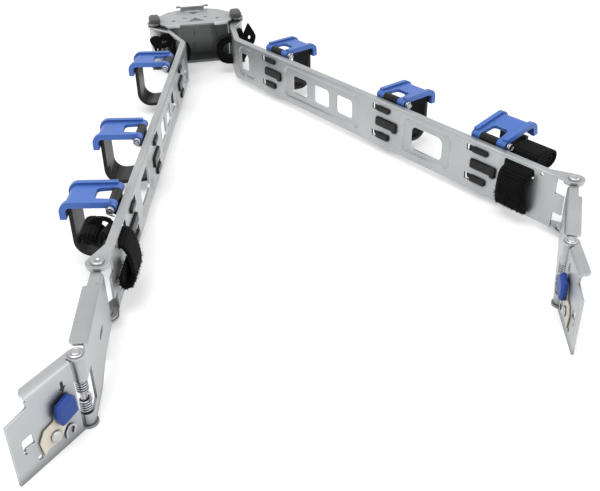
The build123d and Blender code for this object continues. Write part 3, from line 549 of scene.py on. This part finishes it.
tieStrap = {
    "foot": (12.761, 19.328), "turn": (0.88025, 0.47451), "width": 9.0 * mm, "sheet": 1.7 * mm,
    # routes of the ribbons: out from the neck and up
    "loop": (
        (1.0, 29.7), (-3.5, 29.6), (-8.4, 27.4), (-10.2, 21.2), (-8.4, 15.0), (-3.5, 12.9),
        (1.0, 12.9), (3.6, 13.6), (3.8, 21.0), (4.0, 30.6), (1.0, 31.7), (-4.0, 31.7),
        (-10.2, 29.2), (-12.4, 21.2), (-10.2, 13.2), (-4.0, 10.9), (1.0, 10.9), (5.2, 11.6),
        (5.7, 20.0), (5.7, 26.0),
    ),
    "inside": (
        (-0.6, 27.6), (-3.6, 27.4), (-6.8, 25.4), (-8.2, 21.2), (-6.8, 17.2), (-3.6, 15.0),
        (-0.4, 14.8),
    ),
    # flat ends of the strap: outline, and the eyelet's middle and half sizes
    "patches": {
        "right": (
            (((3.8, 31.6), (3.6, 36.0), (7.4, 39.0), (10.8, 35.8), (10.2, 28.4), (6.6, 27.2)),
             None),
            (((15.0, 42.6), (16.2, 40.6), (20.8, 32.6), (21.2, 29.6), (19.4, 24.0), (16.8, 22.6),
              (9.4, 26.6), (9.2, 30.4), (13.6, 39.8)),
             (15.5, 29.8, 1.1, 1.9)),
            (((3.4, 19.2), (4.8, 18.6), (12.4, 15.4), (12.6, 13.6), (6.2, 5.4), (4.6, 5.2),
              (3.4, 8.0)),
             None),
        ),
        "left": (
            (((22.0, 33.6), (21.0, 37.0), (16.4, 38.0), (12.2, 36.6), (11.2, 31.0), (12.6, 26.6),
              (14.4, 22.2), (17.6, 22.4), (18.8, 28.2)),
             (15.8, 26.0, 0.8, 1.4)),
            (((13.6, 35.4), (10.8, 38.6), (5.6, 38.6), (1.6, 36.4), (1.6, 32.4), (6.0, 32.0),
              (11.6, 32.6)),
             None),
            (((13.4, 29.8), (12.6, 26.6), (9.8, 26.0), (1.8, 29.0), (1.8, 32.8), (9.4, 30.6)),
             None),
        ),
    },
    "cut": {
        "headWidth": 14.0 * mm, "ends": 38.0 * mm, "endArea": {"left": 0.00043, "right": 0.00065},
    },
}
patchShape = {"steps": 6, "weld": 0.01 * mm, "ovalPoints": 8}


def leanAlong(leans, share):
    # lean of the strap at a share of its route, between the leans given for the route's points
    place = share * (len(leans) - 1)
    low = min(int(place), len(leans) - 2)
    return leans[low] + (leans[low + 1] - leans[low]) * (place - low)


def newRibbons():
    bm = bmesh.new()
    return bm, [bm.verts.layers.float.new(name) for name in ("run", "across", "lean")]


def addRibbon(bm, points, width, layers, leans=(0.0, 0.0)):
    # a row of edges along the route, drawn out sideways in a few steps; gives back the length
    run, across, lean = layers
    curve = newCurve("route", strapShape["steps"])
    addSpline(curve, points)
    old = set(bm.verts)
    bm.from_mesh(meshFrom(curve))
    row = [v for v in bm.verts if v not in old]
    made = set(row)
    edges = [e for e in bm.edges if e.verts[0] in made]
    flatWidth = width.normalized()

    def sideStep(vert, share):
        turn = math.radians(vert[lean])
        aim = flatWidth * math.cos(turn) + Vector((0, 0, math.sin(turn)))
        return aim * (width.length * share)

    travelled = 0.0
    for index, vert in enumerate(row):
        travelled += (vert.co - row[max(index - 1, 0)].co).length
        vert[run] = travelled
        vert[lean] = leanAlong(leans, index / (len(row) - 1))
    for vert in row:
        vert.co += sideStep(vert, -0.5)
    columns = strapShape["columns"]
    for step in range(columns):
        drawn = bmesh.ops.extrude_edge_only(bm, edges=edges)["geom"]
        verts = [g for g in drawn if isinstance(g, bmesh.types.BMVert)]
        fresh = set(verts)
        drawnEdges = [g for g in drawn if isinstance(g, bmesh.types.BMEdge)]
        edges = [e for e in drawnEdges if set(e.verts) <= fresh]
        for vert in verts:
            vert.co += sideStep(vert, 1 / columns)
            vert[across] = (step + 1) / columns
    return travelled


def ribbed(bm, run):
    bm.normal_update()
    pitch = webbingLook["ribPitch"]
    height = strapShape["ribHeight"]
    moves = [(v, v.normal * height * math.sin(2 * math.pi * v[run] / pitch)) for v in bm.verts]
    for vert, move in moves:
        vert.co += move


def addFibres(fibres, bm, run, length, random):
    # loose pile over the last stretch of a strap, on both its faces and past its cut end
    bm.normal_update()
    start = length - wideStrap["fibreReach"]
    field = [(v.co.copy(), v.normal.copy()) for v in bm.verts if v[run] > start]
    radius = wideStrap["fibreRadius"]
    sway = wideStrap["fibreLean"]
    for count in range(wideStrap["fibres"]):
        spot, normal = random.choice(field)
        reach = random.uniform(*wideStrap["fibreLength"])
        lean = Vector([random.uniform(-sway, sway) for axis in range(3)])
        aim = (normal * random.choice((-1, 1)) + lean).normalized()
        turn = aim.to_track_quat("Z", "Y").to_matrix().to_4x4()
        place = Matrix.Translation(spot + aim * (strapShape["thickness"] / 2)) @ turn
        bmesh.ops.create_cone(fibres, cap_ends=True, segments=wideStrap["fibreSides"], depth=reach,
                              radius1=radius, radius2=radius * wideStrap["fibreTip"], matrix=place)


def makeWideStrap(side):
    arm = arms[side]
    bm, layers = newRibbons()
    route = wideStrap["band"][side]
    station = wideStrap["station"]
    points = [arm.at(x * mm, (station + shift) * mm, z * mm) for x, z, shift, lean in route]
    leans = [lean for x, z, shift, lean in route]
    length = addRibbon(bm, points, arm.along * wideStrap["width"], layers, leans)
    if side == "left":
        station = wideStrap["archStation"]
        points = [arm.at(x * mm, station * mm, z * mm) for x, z in wideStrap["arch"]]
        addRibbon(bm, points, arm.along * wideStrap["archWidth"], layers)
    fibres = bmesh.new()
    addFibres(fibres, bm, layers[0], length, Random(wideStrap["seed"]))
    ribbed(bm, layers[0])
    node = side + "_wide_strap"
    body = side + "_arm"
    strap = finishPiece(bm, node + "_webbing", body, webbing, (node,))
    solid = strap.modifiers.new("thickness", "SOLIDIFY")
    solid.thickness = strapShape["thickness"]
    solid.offset = 0.0
    fringe = finishPiece(fibres, node + "_fringe", body, webbing)
    print(node, "strap length", round(length, 4))


def flatPatch(bm, outline, holes, thickness, matrix, order=3):
    # flat piece with a rounded outline, made as a filled curve and then set in its place
    curve = newCurve("patch", patchShape["steps"], "2D")
    curve.fill_mode = "BOTH"
    curve.extrude = thickness / 2
    for points in (outline, *holes):
        addSpline(curve, [(x * mm, y * mm, 0.0) for x, y in points], order, closed=True)
    old = set(bm.verts)
    bm.from_mesh(meshFrom(curve))
    made = [v for v in bm.verts if v not in old]
    bmesh.ops.transform(bm, matrix=matrix, verts=made)
    bmesh.ops.remove_doubles(bm, verts=made, dist=patchShape["weld"])


def oval(x, y, halfWidth, halfHeight):
    count = patchShape["ovalPoints"]
    steps = [math.radians(360 / count * i) for i in range(count)]
    return [(x + halfWidth * math.cos(a), y + halfHeight * math.sin(a)) for a in steps]


def neckPlace(side):
    arm = arms[side]
    c, s = tieStrap["turn"]
    x, y = tieStrap["foot"]
    out = arm.out * c + arm.along * s
    return Place(arm.at(x * mm, y * mm, 0), out, arm.along * c - arm.out * s)


def makeTieStrap(side):
    neck = neckPlace(side)
    bm, layers = newRibbons()
    length = 0.0
    for route in ("loop", "inside"):
        points = [neck.at(x * mm, 0, z * mm) for x, z in tieStrap[route]]
        length += addRibbon(bm, points, neck.along * tieStrap["width"], layers)
    ribbed(bm, layers[0])
    bmesh.ops.solidify(bm, geom=bm.faces[:], thickness=tieStrap["sheet"])
    place = facing(neck.origin, neck.out, upward, neck.along)
    for outline, eyelet in tieStrap["patches"][side]:
        holes = [oval(*eyelet)] if eyelet else []
        flatPatch(bm, outline, holes, tieStrap["sheet"], place)
    node = side + "_tie_strap"
    tie = finishPiece(bm, node + "_webbing", side + "_arm", webbing, (node,))


# Wire springs, and rivets with a rolled rim

springs = {
    "lidRadius": 1.8 * mm, "lidWire": 0.9 * mm, "lidPitch": 1.05 * mm, "lidTurns": 2,
    "lidStart": 13.9,
    # legs and bridges in millimetres: out, along and up
    "lidLeg": ((10.0, 0.6, -0.4), (9.8, 0.7, -1.6), (8.6, 0.8, -2.8), (6.0, 0.8, -3.6)),
    "hingeRadius": 2.3 * mm, "hingeWire": 0.86 * mm, "hingePitch": 1.25 * mm, "hingeTurns": 5,
    "hingeLow": 8.1, "hingeHigh": 18.7,
    "bridge": (
        (-2.3, -0.2, 14.0), (-3.4, -0.5, 14.2), (-4.0, -0.5, 15.2), (-4.0, -0.5, 17.6),
        (-3.4, -0.5, 18.6), (-2.3, -0.2, 18.8),
    ),
    "turnSteps": 22, "wireSides": 8, "wireSteps": 8, "wireRound": 2,
}


def addCoil(bm, place, radius, wire, pitch, turns):
    steps = springs["turnSteps"]
    wireSides = springs["wireSides"]
    upright = Matrix.Translation((radius, 0, 0)) @ Matrix.Rotation(math.radians(90), 4, "X")
    circle = bmesh.ops.create_circle(bm, segments=wireSides, radius=wire / 2, matrix=upright)
    start = circle["verts"]
    old = set(bm.verts) - set(start)
    edges = list({e for v in start for e in v.link_edges})
    bmesh.ops.spin(bm, geom=start + edges, cent=(0, 0, 0), axis=(0, 0, 1),
                   dvec=(0, 0, pitch / steps), angle=2 * math.pi * turns, steps=steps * turns,
                   use_merge=False, use_duplicate=False)
    made = [v for v in bm.verts if v not in old]
    ends = [e for e in bm.edges if e.is_boundary and e.verts[0] not in old]
    bmesh.ops.holes_fill(bm, edges=ends, sides=wireSides)
    bmesh.ops.transform(bm, matrix=place, verts=made)


def addWire(bm, points, wire):
    # bent wire along a smooth route
    curve = newCurve("wire", springs["wireSteps"])
    curve.bevel_depth = wire / 2
    curve.bevel_resolution = springs["wireRound"]
    curve.use_fill_caps = True
    addSpline(curve, points)
    bm.from_mesh(meshFrom(curve))


def makeLidSprings(side):
    arm = arms[side]
    bm = bmesh.new()
    wire = springs["lidWire"]
    for index in (1, 2, 3):
        pin = jointPoint(f"{side}_lid_{index}_hinge")
        station = (pin - arm.origin).dot(arm.along)
        start = pin + arm.along * (springs["lidStart"] * mm)
        place = facing(start, arm.out, upward, arm.along)
        addCoil(bm, place, springs["lidRadius"], wire, springs["lidPitch"], springs["lidTurns"])
        leg = [arm.at(x * mm, station + (springs["lidStart"] + y) * mm, pin.z + z * mm)
               for x, y, z in springs["lidLeg"]]
        addWire(bm, leg, wire)
    node = side + "_lid_springs"
    finish = finishes["springSteel"]
    finishPiece(bm, node + "_wire", side + "_arm", finish, (node,))


def makeHingeSpring(side):
    plate = plates[side]
    bm = bmesh.new()
    wire = springs["hingeWire"]
    for level in (springs["hingeLow"], springs["hingeHigh"]):
        place = facing(plate.at(0, 0, level * mm), plate.out, plate.along, upward)
        addCoil(bm, place, springs["hingeRadius"], wire, springs["hingePitch"],
                springs["hingeTurns"])
    bridge = [plate.at(x * mm, y * mm, z * mm) for x, y, z in springs["bridge"]]
    addWire(bm, bridge, wire)
    node = side + "_hinge_spring"
    finish = finishes["springSteel"]
    finishPiece(bm, node + "_wire", side + "_link", finish, (node,))


# turned profiles: radius and height in millimetres, from the axis round to the axis
turnedPins = {
    "upperRivet": (
        (0, 38.45), (1.15, 38.5), (1.5, 38.95), (2.2, 39.2), (2.9, 39.0), (3.35, 38.3),
        (3.35, 38.0), (2.0, 38.0), (2.0, 35.4), (2.8, 35.4), (2.8, 34.6), (0, 34.6),
    ),
    "lowerRivet": (
        (0, 4.05), (1.15, 4.0), (1.5, 3.55), (2.2, 3.3), (2.9, 3.5), (3.35, 4.2),
        (3.35, 4.5), (2.0, 4.5), (2.0, 7.1), (2.8, 7.1), (2.8, 7.9), (0, 7.9),
    ),
    "hingePin": (
        (0, 39.4), (1.3, 39.35), (1.75, 39.15), (1.95, 38.85), (2.3, 38.85), (2.6, 39.0),
        (3.0, 38.8), (3.2, 38.5), (3.2, 38.3), (1.6, 38.3), (1.6, 0), (0, 0),
    ),
    "segments": 40, "shoulder": 50.0,  # edges sharper than the shoulder's angle stay crisp
}


def addTurned(bm, profile, origin):
    line = [bm.verts.new((r * mm, 0, z * mm)) for r, z in turnedPins[profile]]
    edges = [bm.edges.new(pair) for pair in zip(line, line[1:])]
    old = set(bm.verts) - set(line)
    bmesh.ops.spin(bm, geom=line + edges, cent=(0, 0, 0), axis=(0, 0, 1), angle=2 * math.pi,
                   steps=turnedPins["segments"], use_merge=True, use_duplicate=False)
    made = [v for v in bm.verts if v not in old]
    bmesh.ops.translate(bm, verts=made, vec=Vector((origin.x, origin.y, 0)))
    bmesh.ops.remove_doubles(bm, verts=made, dist=weld)


def makeTurned(node, body, origin, profiles):
    bm = bmesh.new()
    for profile in profiles:
        addTurned(bm, profile, origin)
    finish = finishes["rivetSteel"]
    piece = finishPiece(bm, node + "_turned", body, finish, (node,))
    split = piece.modifiers.new("shoulders", "EDGE_SPLIT")
    split.split_angle = math.radians(turnedPins["shoulder"])


def makePins(side):
    pivot = jointPoint(side + "_link_swing")
    rivets = ("upperRivet", "lowerRivet")
    makeTurned(side + "_link_rivets", side + "_arm", pivot, rivets)
    makeTurned(side + "_hinge_pin", side + "_plate", plates[side].origin, ("hingePin",))


# Direction mark on each end plate: a plain arrow, pointing down

arrowMark = {
    "outline": ((11.2, 27.2), (13.0, 29.6), (11.9, 29.6), (11.9, 32.4), (10.5, 32.4),
                (10.5, 29.6), (9.4, 29.6)),
    "face": -1.63, "thickness": 0.1 * mm,
}


def makeArrow(side):
    plate = plates[side]
    bm = bmesh.new()
    origin = plate.at(arrowMark["face"] * mm, 0, 0)
    place = facing(origin, plate.along, upward, plate.out)
    flatPatch(bm, arrowMark["outline"], [], arrowMark["thickness"], place, order=2)
    finish = finishes["blackPlastic"]
    finishPiece(bm, side + "_arrow_mark", side + "_plate", finish, smooth=False)


for side in sides:
    makeWideStrap(side)
    makeTieStrap(side)
    makeLidSprings(side)
    makeHingeSpring(side)
    makePins(side)
    makeArrow(side)
print("straps, springs, pins and marks made")


# Floor, light and camera

white = (1.0, 1.0, 1.0, 1.0)
studio = {
    "floorSize": 40.0, "floorColour": (0.86, 0.86, 0.86), "floorRough": 0.9, "floorSpecular": 0.1,
    "floorGlow": (0.32, 0.58), "floorFade": (0.9, 2.6),  # more glow where the lamps don't reach
    "worldStrength": 0.55,
    "lamps": {
        "keyLight": {"place": (-0.5, -0.7, 1.5), "power": 15.0, "size": 1.3},
        "fillLight": {"place": (1.1, -1.0, 1.0), "power": 6.0, "size": 1.2},
    },
    "target": (0.02, -0.2, 0.0),
}


def seenRays(tree):
    # 1 for rays that the camera sees, also by reflection, 0 for rays that only carry light
    path = tree.nodes.new("ShaderNodeLightPath")
    seen = mathNode(tree, "MAXIMUM", path.outputs["Is Camera Ray"], path.outputs["Is Glossy Ray"])
    return mathNode(tree, "MAXIMUM", seen, path.outputs["Is Transmission Ray"])


def makeFloor():
    bm = bmesh.new()
    bmesh.ops.create_grid(bm, x_segments=1, y_segments=1, size=studio["floorSize"] / 2)
    mesh = bpy.data.meshes.new("floor")
    bm.to_mesh(mesh)
    bm.free()
    floor = bpy.data.objects.new("floor", mesh)
    bpy.context.scene.collection.objects.link(floor)
    material, tree, shader = newMaterial("floorPaper", studio["floorRough"], 0.0)
    shader.inputs["Base Color"].default_value = (*studio["floorColour"], 1.0)
    shader.inputs["Specular IOR Level"].default_value = studio["floorSpecular"]
    shader.inputs["Emission Color"].default_value = white
    place = tree.nodes.new("ShaderNodeTexCoord")
    distance = tree.nodes.new("ShaderNodeVectorMath")
    distance.operation = "LENGTH"
    tree.links.new(place.outputs["Object"], distance.inputs[0])
    glow = mapRange(tree, distance.outputs["Value"], studio["floorFade"], studio["floorGlow"])
    strength = mathNode(tree, "MULTIPLY", seenRays(tree), glow)
    tree.links.new(strength, shader.inputs["Emission Strength"])
    mesh.materials.append(material)


def makeWorld():
    world = bpy.data.worlds.new("studio")
    bpy.context.scene.world = world
    world.use_nodes = True
    tree = world.node_tree
    background = tree.nodes["Background"]
    lift = mathNode(tree, "MULTIPLY", seenRays(tree), 1.0 - studio["worldStrength"])
    strength = mathNode(tree, "ADD", lift, studio["worldStrength"])
    tree.links.new(strength, background.inputs["Strength"])
    background.inputs["Color"].default_value = white


def areaLight(name, place, power, size):
    data = bpy.data.lights.new(name, "AREA")
    data.energy = power
    data.size = size
    lamp = bpy.data.objects.new(name, data)
    lamp.location = place
    aim = Vector(studio["target"]) - Vector(place)
    lamp.rotation_euler = aim.to_track_quat("-Z", "Y").to_euler()
    bpy.context.scene.collection.objects.link(lamp)


# Camera fitted to the photograph: place in metres, turns in degrees
cameraFit = {
    "place": (-0.05289, -0.72266, 0.25228), "lens": 49.11, "sensor": 36.0, "clip": (0.01, 50.0),
    "pitch": 32.27, "yaw": -11.26, "roll": -1.17,
}


def makeCamera():
    pitch, yaw, roll = (math.radians(cameraFit[k]) for k in ("pitch", "yaw", "roll"))
    reach = math.cos(pitch)
    forward = Vector((-math.sin(yaw) * reach, math.cos(yaw) * reach, -math.sin(pitch)))
    level = Vector((math.cos(yaw), math.sin(yaw), 0))
    rise = level.cross(forward)
    right = level * math.cos(roll) + rise * math.sin(roll)
    up = rise * math.cos(roll) - level * math.sin(roll)
    turn = Matrix((right, up, -forward)).transposed().to_4x4()
    data = bpy.data.cameras.new("photoView")
    data.sensor_width = cameraFit["sensor"]
    data.lens = cameraFit["lens"]
    data.clip_start, data.clip_end = cameraFit["clip"]
    camera = bpy.data.objects.new("photoView", data)
    camera.matrix_world = Matrix.Translation(cameraFit["place"]) @ turn
    bpy.context.scene.collection.objects.link(camera)
    bpy.context.scene.camera = camera


makeFloor()
makeWorld()
for name, lamp in studio["lamps"].items():
    areaLight(name, **lamp)
makeCamera()
bpy.context.scene.view_settings.view_transform = "Standard"
print("stage set")
